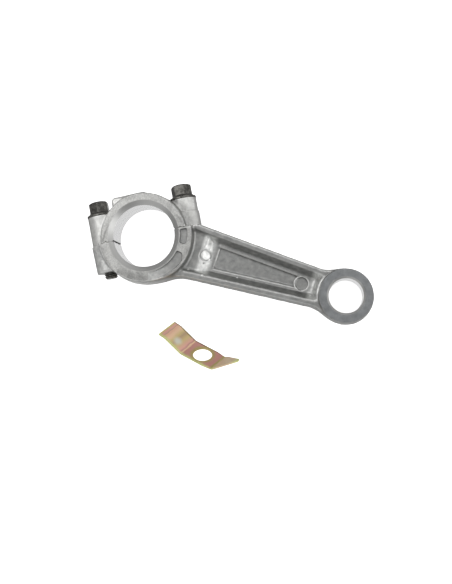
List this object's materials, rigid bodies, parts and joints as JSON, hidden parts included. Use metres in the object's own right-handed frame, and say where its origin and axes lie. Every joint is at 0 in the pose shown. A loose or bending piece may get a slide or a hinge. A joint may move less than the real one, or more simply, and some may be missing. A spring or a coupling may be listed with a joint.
{
  "type": "connecting rod",
  "caption": "die-cast aluminium connecting rod with an I-section beam, an obliquely split big end closed by a bolted cap, and a loose bent oil dipper",
  "frame": {"origin": "centre of the crankpin bore at mid-thickness", "axes": "+X along the beam from the crankpin bore to the piston-pin bore; +Z along the bores, out of the face with the ejector marks; the rod lies on its lower side faces at Z = -11 mm"},
  "size_m": [0.1574, 0.0892, 0.0255],
  "materials": {
    "rod_casting": "as die-cast, satin grey, with the two side faces, both bores and the split face machined",
    "cap_casting": "as die-cast, satin pale grey, with the side faces, bore, bolt seats and split face machined",
    "black_steel": "heat-treated steel with a black oxide and oil finish",
    "yellow_zinc": "zinc plated and yellow passivated, with pink, gold and green iridescence"
  },
  "bodies": {
    "rod": {"rod_body": "rod_casting"},
    "cap": {"bearing_cap": "cap_casting"},
    "outer_bolt": {"cap_bolt_outer": "black_steel"},
    "inner_bolt": {"cap_bolt_inner": "black_steel"},
    "dipper": {"oil_dipper": "yellow_zinc"}
  },
  "joints": [
    {"name": "cap_lift", "type": "slide", "parent": "rod", "child": "cap", "axis": [-0.4664, 0.8846, 0], "range_m": [0, 0.018]},
    {"name": "outer_bolt_turn", "type": "hinge", "parent": "cap", "child": "outer_bolt", "pos_m": [-0.02709, 0.00335, 0], "axis": [-0.4664, 0.8846, 0], "range_deg": [0, 6480]},
    {"name": "inner_bolt_turn", "type": "hinge", "parent": "cap", "child": "inner_bolt", "pos_m": [0.01254, 0.02425, 0], "axis": [-0.4664, 0.8846, 0], "range_deg": [0, 6480]},
    {"name": "dipper_lift", "type": "slide", "parent": "rod", "child": "dipper", "axis": [0, 0, 1], "range_m": [0, 0.03]}
  ],
  "couplings": [
    {"joint": "outer_bolt_turn", "follows": "cap_lift", "rad_per_m": 6283.2},
    {"joint": "inner_bolt_turn", "follows": "cap_lift", "rad_per_m": 6283.2}
  ]
}
